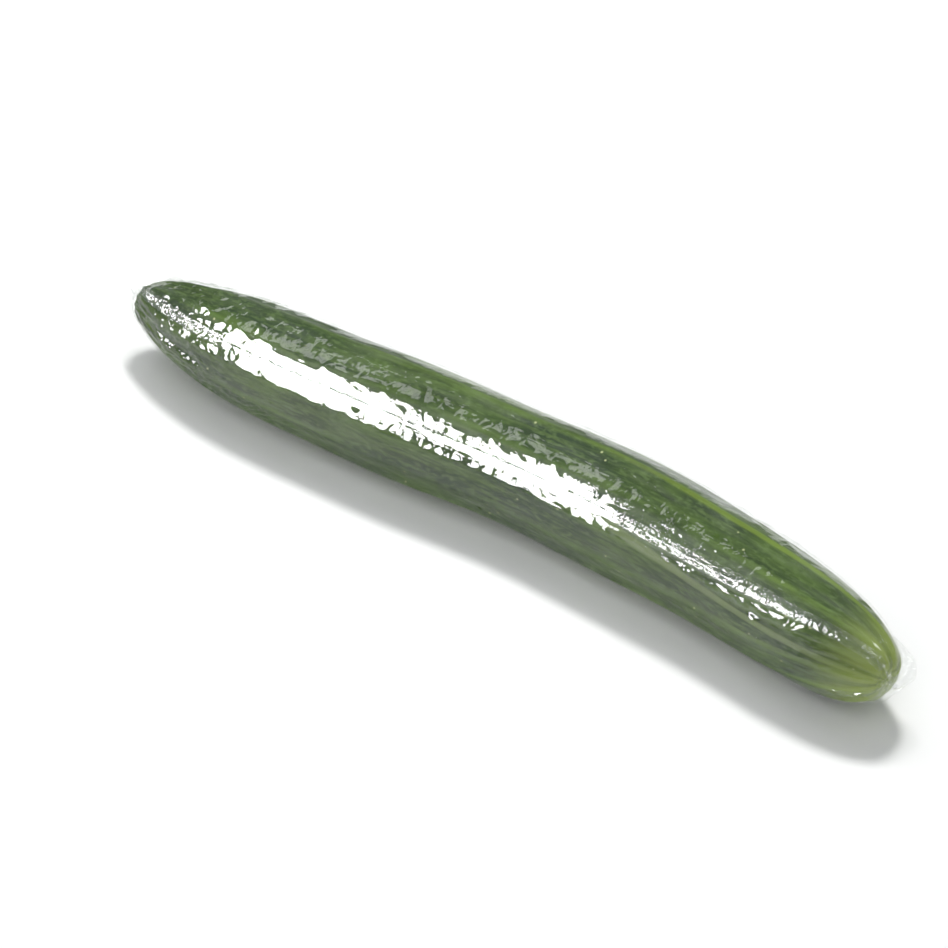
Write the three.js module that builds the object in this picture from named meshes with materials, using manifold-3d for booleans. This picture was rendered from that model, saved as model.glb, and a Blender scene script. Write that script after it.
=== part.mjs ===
// A long cucumber of the English kind in its clear shrink film, lying on a flat surface.
// Units are millimetres. +Z is up and +X runs from the stem end to the blossom end.
// The origin is the middle of the bounding box's underside, on the surface that the film rests on.
import * as THREE from "three";
import { mergeVertices } from "three/addons/utils/BufferGeometryUtils.js";
import Module from "manifold-3d";

// The fruit: a slim body, tapered to the stem and blunt at the blossom
const LENGTH = 338; // between the tips of the two domes, along the chord
const BELLY_RADIUS = 21.6; // of the skin, on the crests of its ribs
const STEM_DOME = { reach: 0.253, power: 1.73, root: 2.13 }; // reach is a share of the length
const BLOSSOM_DOME = { reach: 0.34, power: 2.97, root: 3.08 };
const BOW = [10.6, -4.4, -0.3]; // sideways bend: heights of one, two and three half waves
const SWELL = { share: 0.022, waves: 3.7, phase: -0.9 }; // a slow change of girth along the body
const LOBES = { count: 3, share: 0.012, turn: 0.5 }; // the three seed chambers, faintly

// Lengthwise ribs. The body is nearly flat from one crest to the next, and hollowed along the middle
const RIBS = 10;
const RIB_SHIFTS = [0.1, 0.062]; // radians, by one and two waves round the body: flats of unequal width
const HOLLOWS = [1.0, 0.5, 0.4, 0.15]; // at the stem, a third, two thirds and the blossom
const FADE_RADIUS = 13; // hollows and gathers fade out where the body is slimmer than this

// The cut stem and the scar that the flower left
const STEM_CUT = 3.4; // how far inside the dome's tip the scar lies
const STUB = { radius: 3.3, height: 1.6, shoulder: 4.4 };
const SCAR = { radius: 2.3, height: 0.7, dimple: 1.0, dimpleRadius: 4.2 };

// The film: a sleeve with a lap seam along it, a sealed tail at each end and vent holes
const FILM_GAP = 0.35; // clear of the ribs' crests, which it is stretched over
const FILM_WALL = 0.6; // stands in for a film of 0.03 mm
const SEAM = { width: 4.4, step: 0.4, height: 0.7, mostAngle: 0.25 }; // along the middle of a flat
const SEAM_ANGLE = 49; // degrees from straight up towards -Y, along the middle
const SEAM_FALL = { stem: 30, stemPower: 10, blossom: 32, blossomPower: 5 }; // degrees, at the ends
// Gathers that fan out from each tail
const GATHERS = { count: 9, height: 0.7, reach: 0.16, stemPhase: 1.7, blossomPhase: 0.2, twist: 6 };
const VENT = { radius: 1.3, sides: 12, depth: 3 };
const VENTS = [
  { along: 0.167, rib: 12.5 },
  { along: 0.244, rib: 12 },
  { along: 0.29, rib: 12 },
  { along: 0.5, rib: 72 },
  { along: 0.78, rib: -27 },
  { along: 0.3, rib: -117 },
  { along: 0.62, rib: -145 },
]; // rib is in degrees round the body from the seam
const STEM_TAIL = { reach: 0.05, length: 4.2, wave: 1.1, waves: 5, lean: 2.2, phase: 0.4 };
const BLOSSOM_TAIL = { reach: 0.05, length: 5.6, wave: 0.7, waves: 4, lean: -0.6, phase: 1.9 };
const TAIL_WALL = 0.9;
const TAIL_SUNK = 0.45; // how deep a tail's root sits in the film's wall
const TAIL_CORNER = { share: 0.96, power: 0.8 }; // how a tail's height falls towards its two corners

// How the body lies, and how finely it is cut into faces
const FLATTENED = 0.7; // how much of the underside the body's weight presses flat
const STATIONS = 40;
const COLUMNS_PER_RIB = 4;
const END_BUNCHING = 0.85; // how far the stations crowd towards the ends
const TIP_STATIONS = [0.0004, 0.0018]; // extra ones, where the domes curve most
const TAIL_STEPS = 22;
const TAIL_ROWS = 3;
const MERGE_DISTANCE = 1e-4;

const TURN = 2 * Math.PI;
const radians = THREE.MathUtils.degToRad;
const UP = new THREE.Vector3(0, 0, 1);
const COLUMNS = RIBS * COLUMNS_PER_RIB;
const HALF_RIB = Math.PI / RIBS;
// The underside is the middle of a flat.
const AXIS_HEIGHT = BELLY_RADIUS * Math.cos(HALF_RIB) + FILM_GAP + FILM_WALL - FLATTENED;

// A dome's radius as a share of the belly's: 0 at its tip, 1 where it meets the body.
function domeShare(fromTip, dome) {
  const left = Math.max(0, 1 - fromTip / dome.reach);
  return Math.pow(Math.max(0, 1 - Math.pow(left, dome.power)), 1 / dome.root);
}

// The body's plain radius at a station: u is 0 at the stem's tip and 1 at the blossom's.
function plainRadius(u) {
  const girth = 1 + SWELL.share * Math.sin(TURN * SWELL.waves * u + SWELL.phase);
  return BELLY_RADIUS * girth * domeShare(u, STEM_DOME) * domeShare(1 - u, BLOSSOM_DOME);
}

// The bent axis: its point, and the level direction across it on the -Y side.
function axisAt(u) {
  const bend = BOW.reduce((sum, height, i) => sum + height * Math.sin((i + 1) * Math.PI * u), 0);
  const slope = BOW.reduce(
    (sum, height, i) => sum + height * (i + 1) * Math.PI * Math.cos((i + 1) * Math.PI * u),
    0,
  ) / LENGTH;
  return {
    point: new THREE.Vector3(LENGTH * u, bend, AXIS_HEIGHT),
    side: new THREE.Vector3(slope, -1, 0).normalize(),
    along: new THREE.Vector3(1, slope, 0).normalize(),
  };
}

// The seam climbs towards straight up at both ends.
function seamTurn(u) {
  const fromMiddle = Math.min(1, Math.abs(2 * u - 1));
  const fall =
    u < 0.5
      ? SEAM_FALL.stem * Math.pow(fromMiddle, SEAM_FALL.stemPower)
      : SEAM_FALL.blossom * Math.pow(fromMiddle, SEAM_FALL.blossomPower);
  return radians(SEAM_ANGLE - fall);
}

// The turn from straight up towards -Y of a lengthwise line, rib radians round from the seam.
function ribTurn(u, rib) {
  const shift = RIB_SHIFTS.reduce((sum, s, i) => sum + s * (Math.cos((i + 1) * rib) - 1), 0);
  return seamTurn(u) + rib + shift;
}

// The share of the radius that a chord from crest to crest lies below the round.
function flatShare(rib) {
  const fromMiddle = rib - 2 * HALF_RIB * Math.round(rib / (2 * HALF_RIB));
  return 1 - Math.cos(HALF_RIB) / Math.cos(fromMiddle);
}

const slimFade = (u) => Math.pow(Math.min(1, plainRadius(u) / FADE_RADIUS), 2);

// How far the skin sinks below the flat between two crests.
function hollowDepth(u, rib) {
  const place = THREE.MathUtils.clamp(u, 0, 1) * (HOLLOWS.length - 1);
  const step = Math.min(Math.floor(place), HOLLOWS.length - 2);
  const depth = THREE.MathUtils.lerp(HOLLOWS[step], HOLLOWS[step + 1], place - step);
  return depth * slimFade(u) * (0.5 + 0.5 * Math.cos(RIBS * rib));
}

// A point of the fruit's skin, or of the flats that the film bridges its hollows by.
function bodyPoint(u, rib, hollowed) {
  const { point, side } = axisAt(u);
  const turn = ribTurn(u, rib);
  const lobed = 1 + LOBES.share * Math.cos(LOBES.count * (turn - LOBES.turn));
  const flat = plainRadius(u) * lobed * (1 - flatShare(rib));
  const radius = Math.max(0, flat - (hollowed ? hollowDepth(u, rib) : 0));
  return point
    .addScaledVector(UP, radius * Math.cos(turn))
    .addScaledVector(side, radius * Math.sin(turn));
}

// The outward direction of the flats there, by small steps along and around the body.
function flatNormal(u, rib) {
  const step = 1e-3;
  const low = Math.max(step, Math.min(u, 1 - 2 * step));
  const along = bodyPoint(low + step, rib, false).sub(bodyPoint(low - step, rib, false));
  const around = bodyPoint(low, rib + step, false).sub(bodyPoint(low, rib - step, false));
  return around.cross(along).normalize();
}

// The film's gathers near the tails, always outwards.
function gather(u, rib) {
  const fromEnd = Math.min(u, 1 - u);
  const near = Math.max(0, 1 - fromEnd / GATHERS.reach);
  const phase = u < 0.5 ? GATHERS.stemPhase : GATHERS.blossomPhase;
  const wave = 0.5 + 0.5 * Math.cos(GATHERS.count * rib + phase + GATHERS.twist * u);
  return GATHERS.height * near * slimFade(u) * wave * wave;
}

// A point of the taut film, so many mm outwards from the ribs' crests.
function filmPoint(u, rib, outwards) {
  const normal = flatNormal(u, rib);
  return bodyPoint(u, rib, false).addScaledVector(normal, outwards + gather(u, rib));
}

// Stations from 0 to 1, closer together on the domes.
function stationAt(i) {
  const v = i / STATIONS;
  return END_BUNCHING * (0.5 - 0.5 * Math.cos(Math.PI * v)) + (1 - END_BUNCHING) * v;
}
const stations = [
  ...TIP_STATIONS,
  ...Array.from({ length: STATIONS - 1 }, (_, i) => stationAt(i + 1)),
  ...TIP_STATIONS.map((u) => 1 - u).reverse(),
];

// A closed surface from rings of points between two tips.
function closedSurface(firstTip, rings, lastTip, inwards = false) {
  const count = rings[0].length;
  const points = [firstTip, ...rings.flat(), lastTip];
  const at = (ring, column) => 1 + ring * count + (column % count);
  const faces = [];
  for (let j = 0; j < count; j++) {
    faces.push(0, at(0, j + 1), at(0, j));
    for (let i = 0; i < rings.length - 1; i++) {
      faces.push(at(i, j), at(i + 1, j + 1), at(i + 1, j));
      faces.push(at(i, j), at(i, j + 1), at(i + 1, j + 1));
    }
    faces.push(points.length - 1, at(rings.length - 1, j), at(rings.length - 1, j + 1));
  }
  return { points, faces: inwards ? faces.reverse() : faces };
}

// Surfaces as one geometry.
function toGeometry(surfaces) {
  const positions = [];
  const index = [];
  for (const { points, faces } of surfaces) {
    const first = positions.length / 3;
    points.forEach((p) => positions.push(p.x, p.y, p.z));
    faces.forEach((corner) => index.push(corner + first));
  }
  return new THREE.BufferGeometry()
    .setAttribute("position", new THREE.Float32BufferAttribute(positions, 3))
    .setIndex(index);
}

// The body's weight presses its underside flat.
const pressed = (point, lowest) => point.setZ(Math.max(point.z, lowest));

// The fruit's surface, with the stem's stub and the blossom's scar turned into its two ends.
function cucumberGeometry() {
  const lowest = FILM_WALL + FILM_GAP;
  const ribs = Array.from({ length: COLUMNS }, (_, j) => (TURN * j) / COLUMNS);
  const bodyRing = (u) => ribs.map((rib) => pressed(bodyPoint(u, rib, true), lowest));
  // A round ring across the axis, along mm from the stem's tip.
  const roundRing = (radius, along) => {
    const { point, side } = axisAt(along / LENGTH);
    return ribs.map((rib) => {
      const turn = ribTurn(along / LENGTH, rib);
      return point
        .clone()
        .addScaledVector(UP, radius * Math.cos(turn))
        .addScaledVector(side, radius * Math.sin(turn));
    });
  };
  const stubEnd = STEM_CUT - STUB.height;
  const stem = [
    roundRing(STUB.radius * 0.8, stubEnd),
    roundRing(STUB.radius, stubEnd + 0.4),
    roundRing(STUB.radius, STEM_CUT + 0.3),
    roundRing(STUB.shoulder, STEM_CUT),
  ];
  const blossom = [
    roundRing(SCAR.dimpleRadius * 0.8, LENGTH - SCAR.dimple),
    roundRing(SCAR.radius, LENGTH - SCAR.dimple - 0.2),
    roundRing(SCAR.radius * 0.8, LENGTH - SCAR.dimple + SCAR.height * 0.6),
  ];
  // Body rings start and stop where the body is wider than the stub's shoulder and the dimple.
  const rings = stations
    .filter((u) => u * LENGTH > STEM_CUT && plainRadius(u) > SCAR.dimpleRadius)
    .map(bodyRing);
  const stemTip = axisAt(stubEnd / LENGTH).point;
  const blossomTip = axisAt((LENGTH - SCAR.dimple + SCAR.height) / LENGTH).point;
  return toGeometry([closedSurface(stemTip, [...stem, ...rings, ...blossom], blossomTip)]);
}

// The columns round the film at a station. Five at the seam take the place of the flat's own three.
function filmColumns(u) {
  const inner = Math.min(SEAM.width / 2 / Math.max(plainRadius(u), 1), SEAM.mostAngle);
  const outer = inner * (1 + (2 * SEAM.step) / SEAM.width);
  const seam = [-outer, -inner, 0, inner, outer];
  const rest = Array.from({ length: COLUMNS - 3 }, (_, j) => (TURN * (j + 2)) / COLUMNS);
  return [...seam, ...rest].map((rib) => ({ rib, lap: Math.abs(rib) <= inner ? SEAM.height : 0 }));
}

// One face of the film. The lap shows on the outer one only.
function filmSurface(outwards, lowest, inwards) {
  const ring = (u) =>
    filmColumns(u).map(({ rib, lap }) =>
      pressed(filmPoint(u, rib, outwards + (inwards ? 0 : lap)), lowest),
    );
  const tip = (u, sign) => {
    const { point, along } = axisAt(u);
    return point.addScaledVector(along, sign * outwards);
  };
  return closedSurface(tip(0, -1), stations.map(ring), tip(1, 1), inwards);
}

// A tail: the flat weld across the end of the sleeve, standing off the dome in a wavy fin.
// end is 0 at the stem and 1 at the blossom. across runs from -1 to 1 over the dome's tip.
function tailSurface(end, tail) {
  const facingTurn = ribTurn(end, TURN / 4) - TURN / 4;
  const facing = UP.clone()
    .multiplyScalar(Math.cos(facingTurn))
    .addScaledVector(axisAt(end).side, Math.sin(facingTurn));
  const root = (across) => {
    if (across === 0) {
      const { point, along } = axisAt(end);
      return { skin: point, out: along.multiplyScalar(end === 0 ? -1 : 1) };
    }
    const u = Math.abs(end - tail.reach * across * across);
    const rib = (Math.sign(across) * TURN) / 4;
    return { skin: bodyPoint(u, rib, false), out: flatNormal(u, rib) };
  };
  const column = (across) => {
    const { skin, out } = root(across);
    const corner = Math.pow(1 - TAIL_CORNER.share * across * across, TAIL_CORNER.power);
    const rows = Array.from({ length: TAIL_ROWS }, (_, k) => {
      const up = k / (TAIL_ROWS - 1);
      const wave = tail.wave * Math.sin(tail.waves * across * Math.PI + tail.phase);
      const height = FILM_GAP + FILM_WALL - TAIL_SUNK + up * (tail.length * corner + TAIL_SUNK);
      return skin
        .clone()
        .addScaledVector(out, height)
        .addScaledVector(facing, up * (wave + tail.lean * up));
    });
    return [1, -1].flatMap((face) =>
      rows.map((point) => point.clone().addScaledVector(facing, (face * TAIL_WALL) / 2)),
    );
  };
  const columns = Array.from({ length: TAIL_STEPS + 1 }, (_, i) => column((2 * i) / TAIL_STEPS - 1));
  const at = (i, face, k) => (2 * i + face) * TAIL_ROWS + k;
  const faces = [];
  const quad = (a, b, c, d) => faces.push(a, b, c, a, c, d);
  for (let i = 0; i < TAIL_STEPS; i++) {
    for (let k = 0; k < TAIL_ROWS - 1; k++) {
      quad(at(i, 0, k), at(i + 1, 0, k), at(i + 1, 0, k + 1), at(i, 0, k + 1));
      quad(at(i, 1, k), at(i, 1, k + 1), at(i + 1, 1, k + 1), at(i + 1, 1, k));
    }
    const edge = TAIL_ROWS - 1;
    quad(at(i, 0, 0), at(i, 1, 0), at(i + 1, 1, 0), at(i + 1, 0, 0));
    quad(at(i, 0, edge), at(i + 1, 0, edge), at(i + 1, 1, edge), at(i, 1, edge));
  }
  const last = TAIL_STEPS;
  for (let k = 0; k < TAIL_ROWS - 1; k++) {
    quad(at(0, 0, k), at(0, 0, k + 1), at(0, 1, k + 1), at(0, 1, k));
    quad(at(last, 0, k), at(last, 1, k), at(last, 1, k + 1), at(last, 0, k + 1));
  }
  // The two ends mirror each other, so one of them has its faces turned round.
  return { points: columns.flat(), faces: end === 0 ? faces.reverse() : faces };
}

const wasm = await Module();
wasm.setup();

function toSolid(geometry) {
  const bare = geometry.clone();
  bare.deleteAttribute("normal");
  bare.deleteAttribute("uv");
  const merged = mergeVertices(bare, MERGE_DISTANCE);
  return new wasm.Manifold(
    new wasm.Mesh({
      numProp: 3,
      vertProperties: merged.attributes.position.array,
      triVerts: new Uint32Array(merged.index.array),
    }),
  );
}

function fromSolid(solid) {
  const mesh = solid.getMesh();
  const positions = new Float32Array(mesh.numVert * 3);
  for (let i = 0; i < mesh.numVert; i++) {
    positions.set(mesh.vertProperties.subarray(i * mesh.numProp, i * mesh.numProp + 3), i * 3);
  }
  const geometry = new THREE.BufferGeometry()
    .setAttribute("position", new THREE.BufferAttribute(positions, 3))
    .setIndex(new THREE.BufferAttribute(mesh.triVerts, 1));
  geometry.computeVertexNormals();
  return geometry;
}

// A round punch across the film's wall at one vent.
function ventPunch({ along, rib }) {
  const out = flatNormal(along, radians(rib));
  const punch = new THREE.CylinderGeometry(VENT.radius, VENT.radius, VENT.depth, VENT.sides);
  punch.applyQuaternion(new THREE.Quaternion().setFromUnitVectors(new THREE.Vector3(0, 1, 0), out));
  const middle = filmPoint(along, radians(rib), FILM_GAP + FILM_WALL / 2);
  punch.translate(middle.x, middle.y, middle.z);
  return toSolid(punch);
}

function filmGeometry() {
  const sleeve = toSolid(
    toGeometry([
      filmSurface(FILM_GAP + FILM_WALL, 0, false),
      filmSurface(FILM_GAP, FILM_WALL, true),
    ]),
  );
  const vented = VENTS.reduce((film, vent) => film.subtract(ventPunch(vent)), sleeve);
  const tails = [tailSurface(0, STEM_TAIL), tailSurface(1, BLOSSOM_TAIL)];
  return fromSolid(tails.reduce((film, tail) => film.add(toSolid(toGeometry([tail]))), vented));
}

const skin = new THREE.MeshStandardMaterial({ color: 0x35561f, roughness: 0.42, metalness: 0 });
const clearFilm = new THREE.MeshStandardMaterial({
  color: 0xf4f6f4,
  roughness: 0.08,
  metalness: 0,
  transparent: true,
  opacity: 0.22,
});

const cucumber = new THREE.Mesh(cucumberGeometry(), skin);
cucumber.name = "cucumber";
cucumber.geometry.computeVertexNormals();
const film = new THREE.Mesh(filmGeometry(), clearFilm);
film.name = "film_wrap";

const wrappedCucumber = new THREE.Group();
wrappedCucumber.add(cucumber, film);
const box = new THREE.Box3().setFromObject(wrappedCucumber, true);
wrappedCucumber.position.set(-(box.min.x + box.max.x) / 2, -(box.min.y + box.max.y) / 2, 0);

export default wrappedCucumber;
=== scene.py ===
# %% [markdown]
# # A long cucumber in its shrink film
#
# A greenhouse cucumber is sold in a sleeve of clear film that was shrunk onto it with warm air.
# What the eye sees is two skins at once: a dark, semi-matte green one with paler streaks, and a
# glossy one without any colour, which mirrors lamps, floor and room.
# The film is stretched flat from rib to rib, so each flat mirrors one part of the room. That is
# where the broad white highlight comes from, and why its neighbours stay dark.
#
# The CAD model is loaded first as a fixed frame. Everything made here goes where the CAD has it.

import math

import bpy
import numpy as np
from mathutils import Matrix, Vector


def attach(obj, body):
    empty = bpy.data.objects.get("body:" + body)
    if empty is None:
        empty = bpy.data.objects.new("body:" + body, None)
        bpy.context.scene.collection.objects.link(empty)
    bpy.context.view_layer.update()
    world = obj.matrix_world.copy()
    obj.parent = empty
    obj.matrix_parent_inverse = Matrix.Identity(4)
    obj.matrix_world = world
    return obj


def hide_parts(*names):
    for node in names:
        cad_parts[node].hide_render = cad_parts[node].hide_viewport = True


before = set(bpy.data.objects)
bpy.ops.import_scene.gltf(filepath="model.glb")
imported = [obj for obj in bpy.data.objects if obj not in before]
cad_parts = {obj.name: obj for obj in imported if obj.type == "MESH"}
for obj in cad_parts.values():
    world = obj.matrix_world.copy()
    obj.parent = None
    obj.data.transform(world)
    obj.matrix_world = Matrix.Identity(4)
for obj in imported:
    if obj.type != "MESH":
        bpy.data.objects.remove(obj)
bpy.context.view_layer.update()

# %% [markdown]
# ## The camera
#
# The cucumber is seen from about 40 degrees round and 39 degrees up, from far away through a long
# lens, so that its two ends keep nearly the same scale. A long lens is a large focal length on the
# same sensor. Depth of field stays off, because the whole cucumber is sharp.

# %% Camera
AZIMUTH, ELEVATION = 39.6, 38.5  # degrees. Azimuth 0 looks along +Y
DISTANCE = 1.5
LENS, SENSOR = 162.6, 36.0
AIM = Vector((0, 0, 0.021))
AIM_LEFT, AIM_DOWN = 0.01215, 0.00252  # metres, so that the cucumber sits right of the middle


def direction(azimuth, elevation):
    """The unit vector from the object towards a camera or a lamp at these angles in degrees."""
    a, e = math.radians(azimuth), math.radians(elevation)
    return Vector((math.sin(a) * math.cos(e), -math.cos(a) * math.cos(e), math.sin(e)))


def place_facing(thing, target, away, azimuth, elevation):
    """Puts a camera or lamp so far from a target and turns it towards the target."""
    back = direction(azimuth, elevation)
    thing.location = target + back * away
    thing.rotation_euler = (-back).to_track_quat("-Z", "Y").to_euler()


bpy.ops.object.select_all(action="DESELECT")
bpy.ops.object.camera_add()
camera = bpy.context.object
camera.name = "photo_camera"
camera.data.lens = LENS
camera.data.sensor_width = SENSOR
camera.data.dof.use_dof = False
towards_camera = direction(AZIMUTH, ELEVATION)
right = Vector((math.cos(math.radians(AZIMUTH)), math.sin(math.radians(AZIMUTH)), 0))
upwards = towards_camera.cross(right)
place_facing(camera, AIM - right * AIM_LEFT - upwards * AIM_DOWN, DISTANCE, AZIMUTH, ELEVATION)
bpy.context.scene.camera = camera
print("camera at", [round(x, 3) for x in camera.location])

# %% [markdown]
# ## Small helpers for materials
#
# A material is a graph of nodes. A few helpers are enough for all of them: one turns a colour
# that is read off a screen into the linear numbers that light is computed with, and one adds a
# node with its settings and links.

# %% Colour and node helpers
def linear(hex_colour):
    """An sRGB colour such as "#35511f" as linear red, green, blue and a full alpha."""
    channels = [int(hex_colour[i : i + 2], 16) / 255 for i in (1, 3, 5)]
    return (*[c / 12.92 if c <= 0.04045 else ((c + 0.055) / 1.055) ** 2.4 for c in channels], 1)


def add(tree, kind, sockets=None, **settings):
    """Adds a node. A setting is one of its properties, or else the value of an input socket.
    Each of sockets is fed by an output, by a node's first output in use, or set to a value."""
    node = tree.nodes.new(kind)
    for name, value in settings.items():
        if hasattr(node, name):
            setattr(node, name, value)
        else:
            node.inputs[name.replace("_", " ")].default_value = value
    for name, source in (sockets or {}).items():
        if isinstance(source, bpy.types.Node):
            source = next(output for output in source.outputs if output.enabled)
        if isinstance(source, bpy.types.NodeSocket):
            tree.links.new(source, node.inputs[name])
        else:
            node.inputs[name].default_value = source
    return node


def new_material(name):
    """An empty material and its node tree with the output node."""
    material = bpy.data.materials.new(name)
    material.use_nodes = True
    material.node_tree.nodes.clear()
    return material, material.node_tree, add(material.node_tree, "ShaderNodeOutputMaterial")


print("sRGB #808080 is", round(linear("#808080")[0], 3), "in linear light")

# %% [markdown]
# ## The shape by formula
#
# A grown thing has no edges to start from, so its skin could be sculpted by hand with a brush.
# Here the CAD model already gives its form by formula: a tapered, gently bent body with ten ribs,
# nearly flat between their crests. The same named values are used again, so the fine skin lies
# exactly where the CAD has it, and every later detail can be placed by two numbers: how far along
# the cucumber (0 at the stem, 1 at the blossom), and the angle round it from the film's seam.

# %% The body's named values, in millimetres
LENGTH = 338.0
BELLY_RADIUS = 21.6
STEM_DOME = {"reach": 0.253, "power": 1.73, "root": 2.13}
BLOSSOM_DOME = {"reach": 0.34, "power": 2.97, "root": 3.08}
BOW = (10.6, -4.4, -0.3)
SWELL = {"share": 0.022, "waves": 3.7, "phase": -0.9}
LOBES = {"count": 3, "share": 0.012, "turn": 0.5}
RIBS = 10
RIB_SHIFTS = (0.1, 0.062)
HOLLOWS = (1.0, 0.5, 0.4, 0.15)
FADE_RADIUS = 13.0
SEAM_ANGLE = 49.0
SEAM_FALL = {"stem": 30, "stemPower": 10, "blossom": 32, "blossomPower": 5}
HALF_RIB = math.pi / RIBS
AXIS_HEIGHT = BELLY_RADIUS * math.cos(HALF_RIB) + 0.35 + 0.6 - 0.7
# The CAD group's shift, which puts the middle of the whole at the origin
SHIFT = np.array([-169.868, -8.418, 0.0])
CREST_ROUNDING = 0.012  # share of the radius that rounds a crest


def dome_share(from_tip, dome):
    left = np.clip(1 - from_tip / dome["reach"], 0, 1)
    return np.clip(1 - left ** dome["power"], 0, 1) ** (1 / dome["root"])


def plain_radius(u):
    girth = 1 + SWELL["share"] * np.sin(2 * np.pi * SWELL["waves"] * u + SWELL["phase"])
    return BELLY_RADIUS * girth * dome_share(u, STEM_DOME) * dome_share(1 - u, BLOSSOM_DOME)


def axis_at(u):
    """The bent axis: its points, the level direction across it on the -Y side, and along it."""
    waves = [(i + 1) * np.pi for i in range(len(BOW))]
    bend = sum(h * np.sin(w * u) for h, w in zip(BOW, waves))
    slope = sum(h * w * np.cos(w * u) for h, w in zip(BOW, waves)) / LENGTH
    long, flat = np.sqrt(1 + slope**2), np.zeros_like(u)
    point = np.stack([LENGTH * u, bend, flat + AXIS_HEIGHT], -1)
    side = np.stack([slope / long, -1 / long, flat], -1)
    return point, side, np.stack([1 / long, slope / long, flat], -1)


def seam_turn(u):
    from_middle = np.clip(np.abs(2 * u - 1), 0, 1)
    stem = SEAM_FALL["stem"] * from_middle ** SEAM_FALL["stemPower"]
    blossom = SEAM_FALL["blossom"] * from_middle ** SEAM_FALL["blossomPower"]
    return np.radians(SEAM_ANGLE - np.where(u < 0.5, stem, blossom))


def rib_turn(u, rib):
    """The turn from straight up towards -Y of a place, rib radians round from the seam."""
    shift = sum(s * (np.cos((i + 1) * rib) - 1) for i, s in enumerate(RIB_SHIFTS))
    return seam_turn(u) + rib + shift


def flat_share(rib):
    """How far the flat between two crests lies below the round, as a share of the radius."""
    from_middle = rib - 2 * HALF_RIB * np.round(rib / (2 * HALF_RIB))
    share = 1 - math.cos(HALF_RIB) / np.cos(from_middle)
    return np.hypot(share, CREST_ROUNDING) - CREST_ROUNDING


def slim_fade(u):
    return np.minimum(1, plain_radius(u) / FADE_RADIUS) ** 2


def around(u, rib, radius):
    """Points at a radius from the bent axis."""
    point, side, _ = axis_at(u)
    turn = rib_turn(u, rib)
    up = np.array([0.0, 0.0, 1.0])
    rise, sideways = radius * np.cos(turn), radius * np.sin(turn)
    return point + up * rise[..., None] + side * sideways[..., None]


CROWN = 0.30  # how far the taut film bulges from flat towards round
BACK_FLAT = (-1.5, -1.02)  # radians from the seam: this flat is stretched tightest
BACK_TIGHTNESS = 0.7  # share of the bulge that is missing there


def flats(u, rib):
    """Points of the flats that the film is stretched over."""
    turn = rib_turn(u, rib)
    tight = (rib > BACK_FLAT[0]) & (rib < BACK_FLAT[1])
    lobed = 1 + LOBES["share"] * np.cos(LOBES["count"] * (turn - LOBES["turn"]))
    flatness = 1 - CROWN * (1 - BACK_TIGHTNESS * tight)
    return around(u, rib, plain_radius(u) * lobed * (1 - flatness * flat_share(rib)))


def flats_normal(u, rib):
    """The outward direction of the flats, by small steps along and around."""
    step = 1e-3
    low = np.clip(u, step, 1 - 2 * step)
    along = flats(low + step, rib) - flats(low - step, rib)
    across = flats(low, rib + step) - flats(low, rib - step)
    out = np.cross(across, along)
    return out / np.linalg.norm(out, axis=-1, keepdims=True)


middle_girth = 2 * math.pi * float(plain_radius(np.array(0.5)))
print("girth in the middle:", round(middle_girth, 1), "mm")

# %% [markdown]
# ## Noise and soft masks
#
# Nature repeats nothing, so lengthwise streaks, bumps and wrinkles all start from noise: a smooth
# random field that is always the same for the same place. It is read on the straightened body,
# where x runs along it and y and z go round it. Stretching x makes streaks out of blotches.

# %% Noise on the straightened body
def straightened(u, rib, radius=BELLY_RADIUS):
    """The place on the body before it is bent, in millimetres."""
    return np.stack([LENGTH * u, radius * np.cos(rib), radius * np.sin(rib)], -1)


lattice = np.random.default_rng(3)
SHUFFLED = lattice.permutation(256)
SLOPES = lattice.normal(size=(256, 3))
SLOPES /= np.linalg.norm(SLOPES, axis=1, keepdims=True)


def grain(place, long, wide, seed=0.0):
    """Noise from about -1 to 1 whose blotches are so many millimetres long and wide.
    Each corner of a lattice has a slope of its own, and the eight nearest are blended."""
    scaled = place / np.array([long, wide, wide]) + seed
    cell = np.floor(scaled).astype(int)
    within = scaled - cell
    fade = within**3 * (within * (within * 6 - 15) + 10)
    total = np.zeros(place.shape[:-1])
    for corner in np.ndindex(2, 2, 2):
        at = cell + corner
        pick = SHUFFLED[at[..., 0] & 255]
        pick = SHUFFLED[(pick + at[..., 1]) & 255]
        pick = SHUFFLED[(pick + at[..., 2]) & 255]
        weight = np.prod(np.where(corner, fade, 1 - fade), axis=-1)
        total += weight * np.sum(SLOPES[pick] * (within - corner), axis=-1)
    return 1.6 * total


def ease(low, high, x):
    """Rises smoothly from 0 at low to 1 at high."""
    t = np.clip((x - low) / (high - low), 0, 1)
    return t * t * (3 - 2 * t)


def between(low, high, soft, x):
    """1 between two values, falling to 0 over a soft edge outside each."""
    return ease(low - soft, low, x) * (1 - ease(high, high + soft, x))


def hump(x, middle, width):
    """A bell curve."""
    return np.exp(-(((x - middle) / width) ** 2))


four_places = straightened(np.linspace(0.2, 0.8, 4), np.zeros(4))
print("a streak's noise:", np.round(grain(four_places, 40, 4), 2))

# %% [markdown]
# ## Turning a sphere into a grown body
#
# A UV sphere has rings and columns that are closed at two poles, as the cucumber is at its stem
# and its blossom. A coarse one is added and a simple subdivision cuts it as fine as the smallest
# detail needs, which is much quicker than adding a fine one. Each vertex is then moved by its own
# height and angle on the sphere. Its faces point outwards from the start and stay so.

# %% Sphere helpers
END_BUNCHING = 0.85


def station(v):
    """Rings crowd towards the two ends, where the body curves most."""
    return END_BUNCHING * (0.5 - 0.5 * np.cos(np.pi * v)) + (1 - END_BUNCHING) * v


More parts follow.
